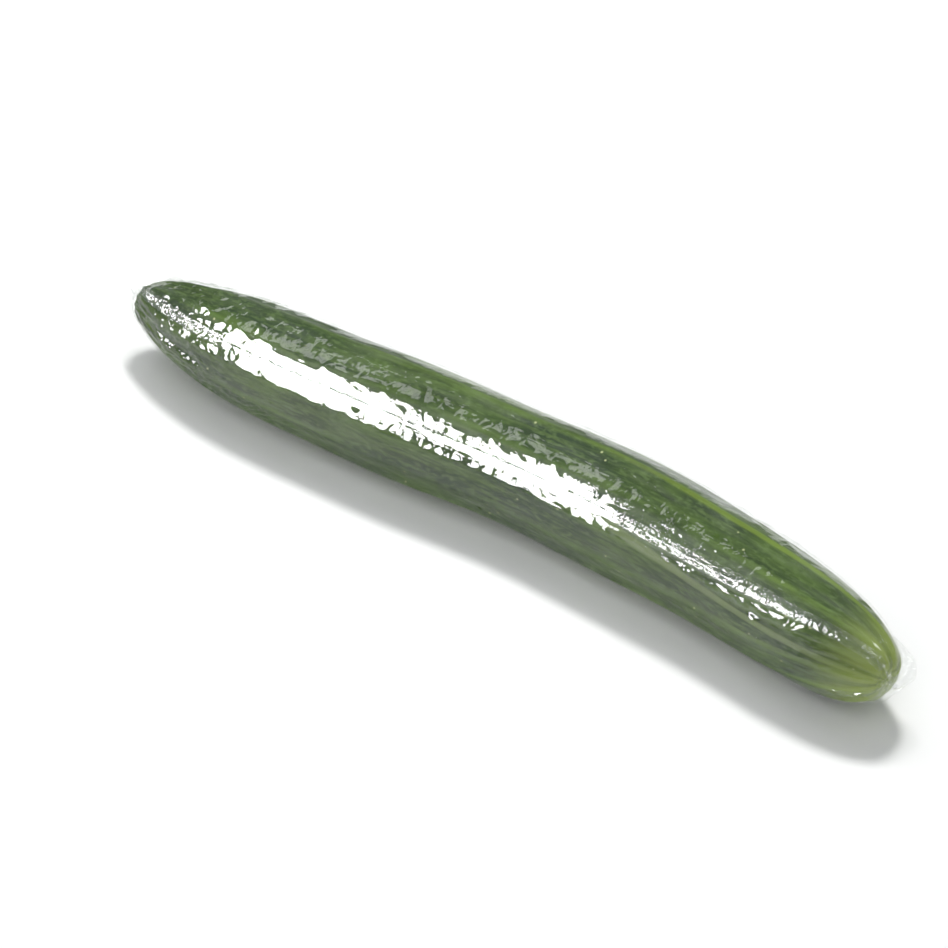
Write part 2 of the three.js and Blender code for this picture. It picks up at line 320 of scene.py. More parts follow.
def add_sphere(name, columns, rings):
    """A unit sphere, and for each vertex its share from pole to pole and its angle round."""
    bpy.ops.object.select_all(action="DESELECT")
    bpy.ops.mesh.primitive_uv_sphere_add(segments=columns // 4, ring_count=rings // 4, radius=1)
    piece = bpy.context.object
    piece.name = piece.data.name = name
    finer = piece.modifiers.new("finer", "SUBSURF")
    finer.subdivision_type = "SIMPLE"
    finer.levels = finer.render_levels = 2
    bpy.ops.object.modifier_apply(modifier=finer.name)
    co = read_points(piece)
    co /= np.linalg.norm(co, axis=1, keepdims=True)
    return piece, np.arccos(np.clip(-co[:, 2], -1, 1)) / np.pi, np.arctan2(co[:, 1], co[:, 0])


def read_points(piece):
    co = np.empty(len(piece.data.vertices) * 3, np.float32)
    piece.data.vertices.foreach_get("co", co)
    return co.reshape(-1, 3).astype(float)


def move_points(piece, millimetres):
    """Puts the vertices at places of the CAD source's own frame and smooths the shading."""
    metres = (millimetres + SHIFT) / 1000
    piece.data.vertices.foreach_set("co", metres.astype(np.float32).ravel())
    piece.data.update()
    bpy.ops.object.select_all(action="DESELECT")
    piece.select_set(True)
    bpy.context.view_layer.objects.active = piece
    bpy.ops.object.shade_smooth()


def keep_straight(piece, place):
    """Stores the straightened place, in metres, for the materials' patterns to follow the body."""
    layer = piece.data.attributes.new("straight", "FLOAT_VECTOR", "POINT")
    layer.data.foreach_set("vector", (place / 1000).astype(np.float32).ravel())


def pressed(points, lowest):
    """The body's weight presses its underside flat."""
    points[:, 2] = np.maximum(points[:, 2], lowest)
    return points


middle_spacing = LENGTH * (station(0.5) - station(0.4975))
print("of 400 rings, the middle ones are", round(middle_spacing, 2), "mm apart")

# %% [markdown]
# ## The fruit
#
# The skin is hollowed a little between the ribs, most near the stem. It carries a few dozen low
# warts, the ends of its seed chambers show as faint lobes, and it has a cut stub of stem at one
# end and a small scar from the flower at the other. The stub and the scar are rings of their own
# between the pole and the body, so the fruit stays one closed skin.

# %% Fruit shape
STEM_CUT = 3.4
STUB = {"radius": 3.3, "height": 1.6, "shoulder": 4.4}
SCAR = {"radius": 2.3, "height": 0.7, "dimple": 1.0, "dimple_radius": 4.2}
WARTS = 90
WART_RADIUS, WART_HEIGHT = 1.0, 0.32
FRUIT_LIFT = 0.35  # above the floor, for the film below it


def hollow_depth(u, rib):
    place = np.clip(u, 0, 1) * (len(HOLLOWS) - 1)
    depth = np.interp(place, range(len(HOLLOWS)), HOLLOWS)
    return depth * slim_fade(u) * (0.5 + 0.5 * np.cos(RIBS * rib))


random = np.random.default_rng(7)
wart_places = np.stack([0.05 + 0.9 * random.random(WARTS), 2 * np.pi * random.random(WARTS)], -1)
wart_sizes = 0.5 + 0.7 * random.random(WARTS)


def warts(u, rib):
    """Height of the low bumps that are left where a young cucumber had its spines."""
    height = np.zeros_like(u)
    place = straightened(u, rib)
    for (along, angle), size in zip(wart_places, wart_sizes):
        centre = straightened(np.array(along), np.array(angle))
        away = np.linalg.norm(place - centre, axis=-1)
        height += WART_HEIGHT * size * hump(away, 0, WART_RADIUS * size)
    return height


def fruit_skin(u, rib):
    turn = rib_turn(u, rib)
    lobed = 1 + LOBES["share"] * np.cos(LOBES["count"] * (turn - LOBES["turn"]))
    radius = plain_radius(u) * lobed * (1 - flat_share(rib)) - hollow_depth(u, rib)
    place = straightened(u, rib)
    uneven = 0.10 * grain(place, 26, 6, 3.1) + 0.05 * grain(place, 9, 3, 8.4)
    return around(u, rib, radius + uneven * slim_fade(u) + warts(u, rib))


fruit, v, rib = add_sphere("cucumber", 200, 420)
CAP = 0.019  # share of the sphere, from each pole, that makes the stub and the scar
BODY_START, BODY_END = 0.0126, 0.9984
inner = np.clip((v - CAP) / (1 - 2 * CAP), 0, 1)
u = BODY_START + (BODY_END - BODY_START) * station(inner)
points = fruit_skin(u, rib)
# Outlines of the two ends from the pole outwards: distance along the axis, and radius
stub_end = STEM_CUT - STUB["height"]
stub_along = [stub_end, stub_end, stub_end + 0.1, stub_end + 0.5, stub_end + 1.1, 3.3, 3.4, 3.5]
stub_radius = [0, 1.3, 2.5, 3.2, STUB["radius"], 3.4, 3.8, STUB["shoulder"]]
tip = LENGTH - SCAR["dimple"]
scar_along = [tip + d for d in (0.1, 0.5, 0.4, 0.1, -0.2, -0.25, -0.1, 0.1)]
scar_radius = [0, 0.8, 1.6, 2.1, 2.4, 3.0, 3.6, SCAR["dimple_radius"]]
for chosen, share, alongs, radii in (
    (v < CAP, v / CAP, stub_along, stub_radius),
    (v > 1 - CAP, (1 - v) / CAP, scar_along, scar_radius),
):
    steps = np.linspace(0, 1, len(alongs))
    u[chosen] = np.interp(share[chosen], steps, alongs) / LENGTH
    radius = np.interp(share[chosen], steps, radii) * (1 + 0.05 * np.sin(5 * rib[chosen] + 1.3))
    points[chosen] = around(u[chosen], rib[chosen], radius)
move_points(fruit, pressed(points, FRUIT_LIFT))
keep_straight(fruit, straightened(u, rib))
print("fruit:", len(fruit.data.vertices), "vertices,", WARTS, "warts")

# %% [markdown]
# ## The film sleeve
#
# Shrunk film is taut from crest to crest and never quite smooth. Along the middle it has faint
# lengthwise ripples, over the thin stem end it had to give up much more of its width and has
# crumpled into small flat shards, and it gathers into folds where each end was sealed.
# Cloth simulation could find such wrinkles, but it wouldn't put the real one's where they are,
# so the wrinkles are drawn as low relief on the same formula. The sleeve is a sphere as well,
# one sheet thick, because real film is thinner than anything that would show.

# %% Film relief
FILM_CLEARANCE = 0.4  # mm outside the crests
GATHERS = {
    "count": 9, "stem_height": 0.7, "blossom_height": 0.28, "reach": 0.16,
    "stem_phase": 1.7, "blossom_phase": 0.2, "twist": 6, "less_below": 0.85,
}
# Heights of the wrinkles in mm: broad waves, fine ripples, and short bumps that are higher by the
# crests, then those of single zones
WRINKLES = {
    "broad": 0.10, "fine": 0.03, "more_above": 0.06, "short": 0.06, "more_by_crests": 0.10,
    "early_round": 0.14, "slipped": 0.20, "loose": 0.2, "loose_folds": 0.65,
    "shards": 0.55, "small_shards": 0.22, "shards_sunk": 0.3, "slanting": 0.2,
}
SLANT = {"along": 0.75, "across": 0.65, "waver": 2.2, "spacing": 2.7}
TENT_HEIGHT = 1.35  # how far the seam stands off the flat, towards the blossom
TENT_BELOW, TENT_ABOVE = 19, 15.5  # degrees that it reaches down to each side
SEAM_CROWDING = 0.35  # columns lie closer round the seam, where the wrinkles are finest


def gather(u, rib):
    near = np.maximum(0, 1 - np.minimum(u, 1 - u) / GATHERS["reach"])
    phase = np.where(u < 0.5, GATHERS["stem_phase"], GATHERS["blossom_phase"])
    wave = 0.5 + 0.5 * np.cos(GATHERS["count"] * rib + phase + GATHERS["twist"] * u)
    below = np.where(u > 0.5, between(0.7, 2.4, 0.3, rib), 0)
    height = np.where(u < 0.5, GATHERS["stem_height"], GATHERS["blossom_height"])
    return height * near * slim_fade(u) * wave**2 * (1 - GATHERS["less_below"] * below)


def creases(place, size, seed):
    """Sharp folds with flat faces between them: high where two smooth noises cross zero."""
    return 1 - np.abs(grain(place, size, size, seed)) * 2.2


# Short lengthwise folds that catch a lamp: from, to (share of the length), degrees from the
# seam, and height in mm
CATCHING_FOLDS = (
    (0.20, 0.30, -12.5, 0.20), (0.27, 0.44, -15, 0.22), (0.31, 0.43, -24, 0.42),
    (0.17, 0.27, -43, 0.5), (0.40, 0.58, -21, 0.38), (0.45, 0.52, -30, 0.42),
    (0.66, 0.86, 22, 0.12), (0.26, 0.33, -33, 0.42),
)


def film_relief(u, rib):
    """Millimetres that the film stands off the taut flats, by wrinkles."""
    high = WRINKLES
    place = straightened(u, rib)
    degrees = np.degrees(np.arctan2(np.sin(rib), np.cos(rib)))
    arc = degrees * math.pi / 180 * BELLY_RADIUS
    near_crest = (1 - np.abs(np.cos(RIBS * rib / 2))) ** 2
    above = between(-52, -20, 8, degrees)
    relief = high["broad"] * grain(place, 34, 9, 1.7)
    relief += (high["fine"] + high["more_above"] * above) * grain(place, 34, 3.2, 5.2)
    relief += (high["short"] + high["more_by_crests"] * near_crest) * grain(place, 4.0, 3.0, 9.9)
    # The flat that carries the seam rounds off a little early on its lower side
    lower_side = ease(16, 25, degrees) * (1 - ease(26, 36, degrees))
    relief -= high["early_round"] * lower_side * (1 - ease(0.6, 0.66, u))
    # Below the seam the film has slipped into lengthwise ripples
    slipped = between(0.40, 0.61, 0.03, u) * between(1, 9, 3, degrees)
    relief += high["slipped"] * slipped * grain(place, 20, 1.7, 3.6)
    # Along the far rim it stands off in long loose folds
    loose = between(-88, -62, 7, degrees) * between(0.1, 0.93, 0.05, u)
    folds = creases(place, 10, 6.6) * ease(-0.3, 0.3, grain(place, 40, 20, 8.8))
    relief += loose * (high["loose"] + high["loose_folds"] * folds)
    # The stem end's shards
    crumpled = (1 - ease(0.155, 0.235, u)) * slim_fade(u)
    facets = high["shards"] * creases(place, 7.5, 2.3)
    facets += high["small_shards"] * creases(place, 3.4, 7.7)
    relief += crumpled * (facets - high["shards_sunk"])
    # Fine slanting wrinkles low on the stem's side
    slanting = between(0.10, 0.24, 0.05, u) * between(45, 95, 12, degrees)
    phase = LENGTH * u * SLANT["along"] + arc * SLANT["across"]
    phase += SLANT["waver"] * grain(place, 9, 9, 4.4)
    relief += slanting * high["slanting"] * np.sin(2 * np.pi * phase / SLANT["spacing"])
    # Short folds that catch the light
    for start, end, at, height in CATCHING_FOLDS:
        wander = at + 1.6 * grain(place * [1, 0, 0], 14, 1, at)
        broken = ease(-0.05, 0.30, grain(place * [1, 0, 0], 5, 1, at + 3))
        fold = between(start, end, 0.02, u) * hump(degrees, wander, 1.5)
        relief += height * fold * broken
    # Past two thirds of the length the seam stands up like the ridge of a tent
    tent = ease(0.64, 0.70, u) * (1 - ease(0.93, 0.98, u))
    reach = np.where(degrees > 0, TENT_BELOW, TENT_ABOVE)
    relief += TENT_HEIGHT * tent * np.maximum(0, 1 - np.abs(degrees) / reach)
    return relief


# Single shards near the stem that face the front lamp: share of the length, degrees from the
# seam, and half their size in mm along and across
SHARDS = (
    (0.120, -19, 3.8, 1.7), (0.066, -13, 2.0, 1.2), (0.182, 5, 1.9, 3.8), (0.164, -15, 1.2, 2.0),
    (0.142, 6, 1.3, 1.4), (0.196, -22, 1.4, 1.8), (0.150, -27, 0.9, 0.9), (0.866, 23, 2.0, 1.7),
)
FRONT_LAMP = (-34, 29.5)  # its azimuth and elevation in degrees


def shards(u, rib):
    """Small flat facets, each tilted halfway between the camera and the front lamp."""
    wanted = np.array(direction(AZIMUTH, ELEVATION) + direction(*FRONT_LAMP))
    relief = np.zeros_like(u)
    for at, degrees, long, wide in SHARDS:
        here, angle = np.array(at), np.radians(degrees)
        out = flats_normal(here, angle)
        along = flats(here + 1e-3, angle) - flats(here - 1e-3, angle)
        along /= np.linalg.norm(along)
        tilt_along = -(wanted @ along) / (wanted @ out)
        tilt_across = -(wanted @ np.cross(along, out)) / (wanted @ out)
        x, y = LENGTH * (u - at), (rib - angle) * plain_radius(here)
        inside = 1 - ease(0.8, 1.25, np.hypot(x / long, y / wide))
        relief += inside * (0.4 + tilt_along * x + tilt_across * y)
    return relief


def film_at(u, rib, outwards=FILM_CLEARANCE):
    stand = outwards + gather(u, rib) + film_relief(u, rib) + shards(u, rib) + 0.8 * warts(u, rib)
    tips = ease(0, 0.004, np.minimum(u, 1 - u))
    stand = FILM_CLEARANCE + (stand - FILM_CLEARANCE) * tips
    return flats(u, rib) + flats_normal(u, rib) * stand[..., None]


sleeve, v, rib = add_sphere("film_sleeve", 208, 468)
u = station(v)
rib = rib - SEAM_CROWDING * np.sin(rib)
points = film_at(u, rib)
point, _, along = axis_at(u)
pole = (v < 1e-4) | (v > 1 - 1e-4)
points[pole] = (point + along * np.where(v < 0.5, -1, 1)[:, None] * FILM_CLEARANCE)[pole]
move_points(sleeve, pressed(points, 0.0))
keep_straight(sleeve, straightened(u, rib))
print("sleeve:", len(sleeve.data.polygons), "faces")

# %% [markdown]
# ## The lap seam
#
# The tube of film was made from a flat web whose edges overlap and are welded. The lap is a
# ribbon about 4 mm wide with two raised edges, and shrinking has puckered it across, like a
# gathered hem. It is a grid of very short cells along the sleeve, given a little thickness by a
# Solidify modifier.

# %% Seam ribbon
SEAM_WIDTH = 4.4
SEAM_MOST_ANGLE = 0.25
SEAM_STEPS, SEAM_STRANDS = 1300, 14
SEAM_START, SEAM_END = 0.0035, 0.9965
# Heights in mm: the ribbon over the film, its cross puckers and how much lower they are where the
# film is calm, its two raised edges, and its upper edge where the film is calm
LAP = {"lift": 0.26, "puckers": 0.30, "calmed": 0.26, "edges": 0.16, "calm_edge": 0.24}


def add_grid(name, long, wide):
    """A flat grid, and for each vertex its share along and its place from -1 to 1 across."""
    bpy.ops.object.select_all(action="DESELECT")
    bpy.ops.mesh.primitive_grid_add(x_subdivisions=long, y_subdivisions=wide, size=2)
    piece = bpy.context.object
    piece.name = piece.data.name = name
    co = read_points(piece)
    return piece, co[:, 0] / 2 + 0.5, co[:, 1]


def thicken(piece, millimetres):
    """Gives a sheet its thickness, outwards and inwards alike, and closes its rim."""
    bpy.ops.object.select_all(action="DESELECT")
    piece.select_set(True)
    bpy.context.view_layer.objects.active = piece
    wall = piece.modifiers.new("wall", "SOLIDIFY")
    wall.thickness = millimetres / 1000
    wall.offset = 0
    bpy.ops.object.modifier_apply(modifier=wall.name)


ribbon, share, across = add_grid("film_seam", SEAM_STEPS, SEAM_STRANDS)
u = SEAM_START + (SEAM_END - SEAM_START) * share
half = np.minimum(SEAM_WIDTH / 2 / np.maximum(plain_radius(u), 1), SEAM_MOST_ANGLE)
rib = half * across
place = np.stack([LENGTH * u, 2.2 * across, 0 * u], -1)
calm = between(0.14, 0.64, 0.04, u)
pucker = grain(place, 1.15, 3.5, 6.1) + 0.6 * grain(place, 0.8, 1.2, 2.9)
lift = LAP["lift"] + (LAP["puckers"] - LAP["calmed"] * calm) * pucker
edge_breaks = ease(-0.3, 0.2, grain(place, 3.2, 9, 4.8))
lift += LAP["edges"] * (1 - calm) * edge_breaks * hump(np.abs(across), 0.85, 0.16)
lift += LAP["calm_edge"] * calm * (0.3 + 0.7 * edge_breaks) * hump(across, -0.80, 0.20)
points = film_at(u, rib) + flats_normal(u, rib) * lift[..., None]
move_points(ribbon, points)
keep_straight(ribbon, straightened(u, rib))
thicken(ribbon, 0.08)
print("seam:", len(ribbon.data.polygons), "faces")

# %% [markdown]
# ## The sealed tails
#
# Each end of the sleeve is welded flat, and what sticks out past the weld is a small crumpled fin
# across the tip. It is a grid again, with its root along the dome and its free edge in waves.

# %% Tails
TAIL_SUNK = 0.2
TAIL_CORNER_POWER = 0.8
TAIL_LOWER_CUT = 0.8  # share that is missing on the lower side, where shrinking drew it flat
STEM_TAIL = {"reach": 0.05, "length": 4.2, "wave": 1.1, "waves": 5, "lean": 2.2, "phase": 0.4}
BLOSSOM_TAIL = {"reach": 0.035, "length": 5.6, "wave": 0.7, "waves": 4, "lean": -0.6, "phase": 1.9}


def make_tail(name, end, tail):
    piece, share, height = add_grid(name, 150, 16)
    across, up = 2 * share - 1, height / 2 + 0.5
    facing_turn = float(rib_turn(np.array(float(end)), np.array(math.pi / 2))) - math.pi / 2
    point, side, along = axis_at(np.array([float(end)]))
    facing = np.array([0, 0, math.cos(facing_turn)]) + side[0] * math.sin(facing_turn)
    u = np.abs(end - tail["reach"] * across**2)
    rib = np.sign(across) * np.pi / 2
    skin, out = flats(u, rib), flats_normal(u, rib)
    centre = np.abs(across) < 0.02
    skin[centre], out[centre] = point[0], along[0] * (-1 if end == 0 else 1)
    corner = (1 - across**2) ** TAIL_CORNER_POWER
    corner *= 1 - TAIL_LOWER_CUT * ease(-0.1 + 0.2 * end, 0.4 + 0.2 * end, across)
    rise = FILM_CLEARANCE - TAIL_SUNK + up * (tail["length"] * corner + TAIL_SUNK)
    wave = tail["wave"] * np.sin(tail["waves"] * across * np.pi + tail["phase"])
    place = np.stack([across * 17, rise, np.full_like(rise, 5.0 * end)], -1)
    crumple = 0.5 * creases(place, 3.0, 1.2) + 0.25 * creases(place, 1.4, 4.0) - 0.4
    crumple *= 1 - across**2
    points = skin + out * rise[:, None]
    points += facing * (up * (wave + tail["lean"] * up + crumple))[:, None]
    move_points(piece, points)
    keep_straight(piece, place)
    thicken(piece, 0.1)
    return piece


stem_tail = make_tail("film_stem_tail", 0, STEM_TAIL)
blossom_tail = make_tail("film_blossom_tail", 1, BLOSSOM_TAIL)
print("tails:", len(stem_tail.data.polygons) + len(blossom_tail.data.polygons), "faces")

# %% [markdown]
# ## Cucumber skin
#
# The skin is a thin waxy layer over green flesh: semi-matte, with a weak, broad sheen. Its colour
# changes mostly along the ribs: dark green with slightly bluish and slightly brownish blotches
# several times longer than wide, yellow-green streaks that waver along the crests, and a paler,
# yellower blossom end where dark wedges run out between the streaks. Small pale specks are the
# stumps of its spines. All patterns read the stored straightened place, so they follow the bend.

# %% Patterns on the straightened body
def blotches(tree, place, table):
    """Noise from 0 to 1 by name. Each has its blotches' length and width in mm, how much finer
    detail it has and how strong that is, and a shift that makes it differ from the others."""
    found = {}
    for name, (long, wide, detail, strength, shift) in table.items():
        stretched = add(
            tree,
            "ShaderNodeMapping",
            {"Vector": place},
            Scale=(1000 / long, 1000 / wide, 1000 / wide),
            Location=(shift,) * 3,
        )
        found[name] = add(
            tree,
            "ShaderNodeTexNoise",
            {"Vector": stretched},
            Scale=1.0,
            Detail=detail,
            Roughness=strength,
        )
    return found


def masks(tree, table):
    """Soft steps by name. Each has what it reads, the value where it has its first amount, the
    value where it has its second, and the two amounts."""
    found = {}
    for name, (source, low, high, first, second) in table.items():
        found[name] = add(
            tree,
            "ShaderNodeMapRange",
            {"Value": source},
            interpolation_type="SMOOTHSTEP",
            From_Min=low,
            From_Max=high,
            To_Min=first,
            To_Max=second,
        )
    return found


def product(tree, factors):
    """All factors multiplied, each an output, a node or a number."""
    result = factors[0]
    for factor in factors[1:]:
        result = add(tree, "ShaderNodeMath", {0: result, 1: factor}, operation="MULTIPLY")
    return result


def body_places(tree):
    """The stored straightened place, its parts, and the angle round from the seam in radians."""
    place = add(tree, "ShaderNodeAttribute", attribute_name="straight").outputs["Vector"]
    along, y, z = add(tree, "ShaderNodeSeparateXYZ", {"Vector": place}).outputs
    return place, along, add(tree, "ShaderNodeMath", {0: z, 1: y}, operation="ARCTAN2")


print("a blotch of 8 mm has the scale", 1000 / 8)

# %% Where the skin's colours lie
skin, tree, output = new_material("waxy_cucumber_skin")
place, along, angle = body_places(tree)
blotch = blotches(
    tree,
    place,
    {
        "waver": (22, 14, 2, 0.55, 0),
        "lighter": (34, 8, 3, 0.55, 0),
        "bluish": (60, 11, 2, 0.5, 3.3),
        "streaks": (70, 7, 3, 0.5, 7.1),
        "fine": (18, 1.5, 3, 0.6, 1.9),
        "darker": (15, 1.8, 3, 0.6, 9.4),
        "mottle": (3.2, 1.3, 3, 0.6, 11.2),
        "waxy": (12, 5, 3, 0.55, 0),
        "pores": (1.1, 1.1, 3, 0.6, 0),
    },
)
# Ten waves round the body, which waver along it: -1 on a crest, 1 in a hollow
waver = add(tree, "ShaderNodeMath", {0: blotch["waver"], 1: 0.5}, operation="SUBTRACT")
waver = product(tree, (waver, 1.1))
waves = add(tree, "ShaderNodeMath", {0: product(tree, (angle, RIBS)), 1: waver}, operation="ADD")
waves = add(tree, "ShaderNodeMath", {0: waves}, operation="COSINE")
spots = add(tree, "ShaderNodeTexVoronoi", {"Vector": place}, Scale=1000 / 7.5, Randomness=1.0)
mask = masks(
    tree,
    {
        "lighter": (blotch["lighter"], 0.35, 0.65, 0, 1),
        "bluish": (blotch["bluish"], 0.42, 0.70, 0, 1),
        "crest": (waves, -0.35, -0.98, 0, 1),
        "streaks": (blotch["streaks"], 0.38, 0.68, 0, 1),
        "more": (along, 0.10, 0.33, 0.35, 0.70),
        "fine": (blotch["fine"], 0.47, 0.70, 0, 0.42),
        "darker": (blotch["darker"], 0.50, 0.70, 0, 0.55),
        "mottle": (blotch["mottle"], 0.48, 0.66, 0, 0.5),
        "blossom": (along, 0.312, 0.342, 0, 1),
        "not_wedge": (waves, 0.2, 0.9, 1, 0.65),
        "specks": (spots, 0.070, 0.045, 0, 1),
        "roughness": (blotch["waxy"], 0.3, 0.7, 0.44, 0.56),
    },
)
print("blotches and masks:", len(blotch), "and", len(mask))

# %% Stripes that run on further than the others
# A greyish one that drifts down towards the blossom, and a yellow one. Each has its angle where
# it begins, its drift in radians a metre, half its width, its strength and its colour
STRIPES_START = 0.222
STRIPES = ((0.16, 5.4, 0.10, 0.7, "#84945f"), (-0.93, 0, 0.08, 0.45, "#829a33"))
stripes = []
wobble = product(tree, (waver, 0.05))
for begin, drift, half, strength, colour in STRIPES:
    run = add(tree, "ShaderNodeMath", {0: along, 1: STRIPES_START}, operation="SUBTRACT")
    drifted = product(tree, (run, drift))
    middle = add(tree, "ShaderNodeMath", {0: drifted, 1: begin}, operation="ADD")
    off = add(tree, "ShaderNodeMath", {0: angle, 1: middle}, operation="SUBTRACT")
    off = add(tree, "ShaderNodeMath", {0: off, 1: wobble}, operation="ADD")
    off = add(tree, "ShaderNodeMath", {0: off}, operation="ABSOLUTE")
    table = {"across": (off, half, half * 0.4, 0, strength), "on": (along, 0.18, 0.25, 0, 1)}
    found = masks(tree, table)
    stripes.append((colour, (found["across"], found["on"])))
print("stripes:", len(stripes))

# %% Skin colours and wax
LAYERS = [
    ("#4c6428", (mask["lighter"],)),
    ("#2b4020", (mask["bluish"],)),
    ("#748f42", (mask["crest"], mask["streaks"], mask["more"])),
    ("#627b38", (mask["fine"],)),
    ("#22350f", (mask["darker"],)),
    ("#637c42", (mask["mottle"],)),
    *stripes,
    ("#93a352", (mask["blossom"], mask["not_wedge"])),
    ("#b9c08a", (mask["specks"],)),
]
coloured = linear("#2f4316")
for colour, amounts in LAYERS:
    coloured = add(
        tree,
        "ShaderNodeMix",
        {"Factor": product(tree, amounts), 6: coloured, 7: linear(colour)},
        data_type="RGBA",
    )
uneven = add(tree, "ShaderNodeBump", {"Height": blotch["pores"]}, Strength=0.35, Distance=0.00012)
surface = add(
    tree,
    "ShaderNodeBsdfPrincipled",
    {"Base Color": coloured, "Roughness": mask["roughness"], "Normal": uneven},
    IOR=1.42,
    Specular_IOR_Level=0.12,
)
tree.links.new(surface.outputs["BSDF"], output.inputs["Surface"])
fruit.data.materials.append(skin)
print("skin layers:", len(LAYERS), "and nodes:", len(tree.nodes))

# %% [markdown]
# ## Shrink film
#
# Polyethylene film is clear, with a refractive index near 1.5. Its faces mirror 4 to 8 per cent
# when seen square on, less where it clings to the wet-looking skin, and far more at a glancing
# angle, and the rest of the light goes straight through. Such a thin sheet bends nothing, so it
# needs no glass shader: it is a mix of a mirror and plain transparency, and the mix follows the
# angle of view as a real sheet's does. The Layer Weight node's Facing output gives that angle
# alike from both sides of the sheet. A trace of milky haze stands for its fine scratches.
#
# Its finest crumples are smaller than the mesh, so they are a height in millimetres for a Bump
# node, made of a few terms: crumples that are strongest by the crests, fine lines along the body,
# cross puckers on the seam towards both ends, a broken ridge along the lap's edge, and a crushed
# patch where the broad highlight ends.

# %% Film crumples
# Share of the length, degrees from the seam and radius in mm. One of them has torn wider
VENTS = (
    (0.218, 13, 0.9), (0.298, 2, 1.3), (0.342, 5, 2.2), (0.5, 72, 1.0), (0.78, -27, 1.0),
    (0.3, -117, 1.1), (0.62, -145, 1.1),
)
FILM_BLOTCHES = {
    "crumples": (4.0, 4.6, 2, 0.42, 5.3),
    "patches": (26, 9, 2, 0.5, 4.1),
    "lines": (24, 1.2, 2, 0.5, 8.7),
    "puckers": (1.3, 3.5, 1, 0.5, 2.7),
    "broken": (3.5, 4.0, 2, 0.5, 7.6),
    "sparkle": (1.7, 1.9, 2, 0.5, 1.4),
    "spots": (9, 5, 1, 0.5, 6.8),
    "ragged": (1.8, 1.8, 2, 0.5, 3.9),
    "milky": (22, 4.5, 4, 0.6, 2.2),
}


def crumple_height(tree, blotch, along, angle, crumple):
    """Height of the fine crumples in mm, times a factor for how crumpled this film is."""
    across = {}
    for name, middle in (("seam", 0.0), ("lap", -0.03), ("above", -0.17)):
        shifted = add(tree, "ShaderNodeMath", {0: angle, 1: middle}, operation="SUBTRACT")
        across[name] = add(tree, "ShaderNodeMath", {0: shifted}, operation="ABSOLUTE")
    flat_wave = add(tree, "ShaderNodeMath", {0: product(tree, (angle, 5.0))}, operation="SINE")
    off_flat = add(tree, "ShaderNodeMath", {0: flat_wave}, operation="ABSOLUTE")
    from_end = add(tree, "ShaderNodeMath", {0: along, 1: 0.241}, operation="SUBTRACT")
    from_end = add(tree, "ShaderNodeMath", {0: from_end}, operation="ABSOLUTE")
    mask = masks(
        tree,
        {
            "patches": (blotch["patches"], 0.38, 0.62, 0.60, 1),
            "crest": (off_flat, 0.1, 0.9, 0.35, 1),
            "seam": (across["seam"], 0.16, 0.07, 0, 1),
            "stem": (along, 0.060, 0.048, 0, 1),
            "blossom": (along, 0.214, 0.234, 0, 1),
            "lap": (across["lap"], 0.022, 0.002, 0, 1),
            "broken": (blotch["broken"], 0.42, 0.52, 0, 0.3),
            "above": (across["above"], 0.17, 0.08, 0, 1),
            "end": (from_end, 0.032, 0.02, 0, 1),
            "spots": (blotch["spots"], 0.48, 0.58, 0, 1),
        },
    )
    height = 0.0
    for terms in (
        (blotch["crumples"], 0.60 * crumple, mask["patches"], mask["crest"]),
        (blotch["lines"], 0.06 * crumple),
        (blotch["puckers"], 0.9 * crumple, mask["seam"], mask["stem"]),
        (blotch["puckers"], 0.9 * crumple, mask["seam"], mask["blossom"]),
        (mask["lap"], mask["broken"]),
        (blotch["sparkle"], 1.2 * crumple, mask["above"], mask["end"], mask["spots"]),
    ):
        height = add(tree, "ShaderNodeMath", {0: height, 1: product(tree, terms)}, operation="ADD")
    return height


print("vent holes:", len(VENTS))

# %% Film material
MIRROR = {"square_on": 0.042, "glancing": 0.68, "power": 4.6, "roughness": 0.045}
RAGGED = 0.002  # metres that noise may add to a vent's edge
RIM = 0.0001  # metres, half the width of a vent's rim


